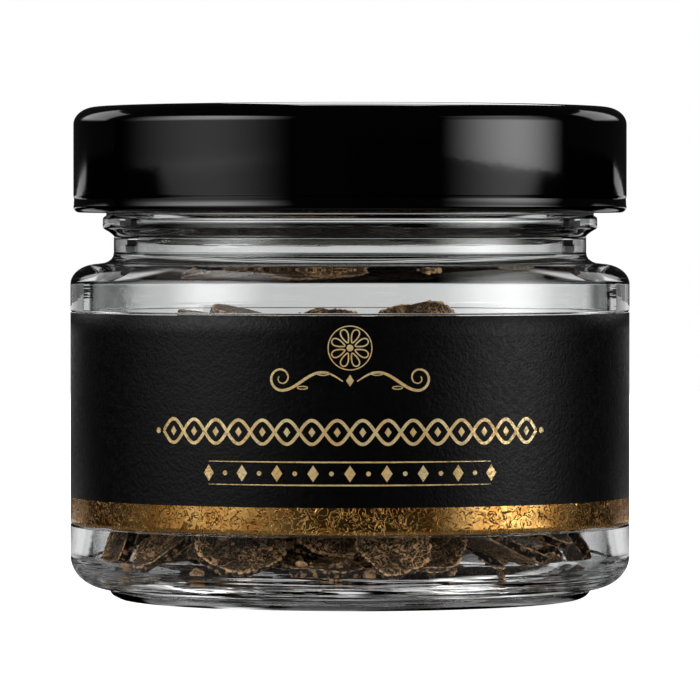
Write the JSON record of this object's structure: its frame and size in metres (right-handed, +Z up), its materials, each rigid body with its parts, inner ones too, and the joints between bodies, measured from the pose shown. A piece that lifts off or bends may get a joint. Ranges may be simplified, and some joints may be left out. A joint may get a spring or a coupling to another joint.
{
  "type": "glass jar of dried truffle slices",
  "caption": "Squat round glass jar with a black twist-off lid and a black wrap-round label, filled with thin dried black truffle slices.",
  "frame": {"origin": "centre of the jar's foot, on the surface it stands on", "axes": "+Z up along the jar's axis, -Y out of the middle of the label"},
  "size_m": [0.0734, 0.0734, 0.0644],
  "materials": {
    "glass": "polished",
    "lid": "gloss",
    "seal": "satin",
    "label": "satin",
    "truffle": "matte"
  },
  "bodies": {
    "jar": {"glass_jar": "glass", "label": "label", "truffle_slice_01": "truffle", "truffle_slice_02": "truffle", "truffle_slice_03": "truffle", "truffle_slice_04": "truffle", "truffle_slice_05": "truffle", "truffle_slice_06": "truffle", "truffle_slice_07": "truffle", "truffle_slice_08": "truffle", "truffle_slice_09": "truffle", "truffle_slice_10": "truffle", "truffle_slice_11": "truffle", "truffle_slice_12": "truffle", "truffle_slice_13": "truffle", "truffle_slice_14": "truffle", "truffle_slice_15": "truffle", "truffle_slice_16": "truffle", "truffle_slice_17": "truffle", "truffle_slice_18": "truffle", "truffle_slice_19": "truffle", "truffle_slice_20": "truffle", "truffle_slice_21": "truffle", "truffle_slice_22": "truffle", "truffle_slice_23": "truffle", "truffle_slice_24": "truffle", "truffle_slice_25": "truffle", "truffle_slice_26": "truffle", "truffle_slice_27": "truffle", "truffle_slice_28": "truffle", "truffle_slice_29": "truffle", "truffle_slice_30": "truffle", "truffle_slice_31": "truffle", "truffle_slice_32": "truffle", "truffle_slice_33": "truffle", "truffle_slice_34": "truffle", "truffle_slice_35": "truffle", "truffle_slice_36": "truffle", "truffle_slice_37": "truffle", "truffle_slice_38": "truffle", "truffle_slice_39": "truffle", "truffle_slice_40": "truffle", "truffle_slice_41": "truffle", "truffle_slice_42": "truffle", "truffle_slice_43": "truffle", "truffle_slice_44": "truffle", "truffle_slice_45": "truffle", "truffle_slice_46": "truffle", "truffle_slice_47": "truffle", "truffle_slice_48": "truffle", "truffle_slice_49": "truffle", "truffle_slice_50": "truffle", "truffle_slice_51": "truffle", "truffle_slice_52": "truffle", "truffle_slice_53": "truffle", "truffle_slice_54": "truffle", "truffle_slice_55": "truffle"},
    "seal": {"seal_ring": "seal"},
    "lid": {"lid": "lid"}
  },
  "joints": [
    {"name": "lid_rise", "type": "slide", "parent": "jar", "child": "seal", "axis": [0, 0, 1], "range_m": [0, 0.00182]},
    {"name": "lid_twist", "type": "hinge", "parent": "seal", "child": "lid", "pos_m": [0, 0, 0.05], "axis": [0, 0, 1], "range_deg": [0, 60]}
  ],
  "couplings": [
    {"joint": "lid_rise", "follows": "lid_twist", "m_per_rad": 0.0017189}
  ]
}
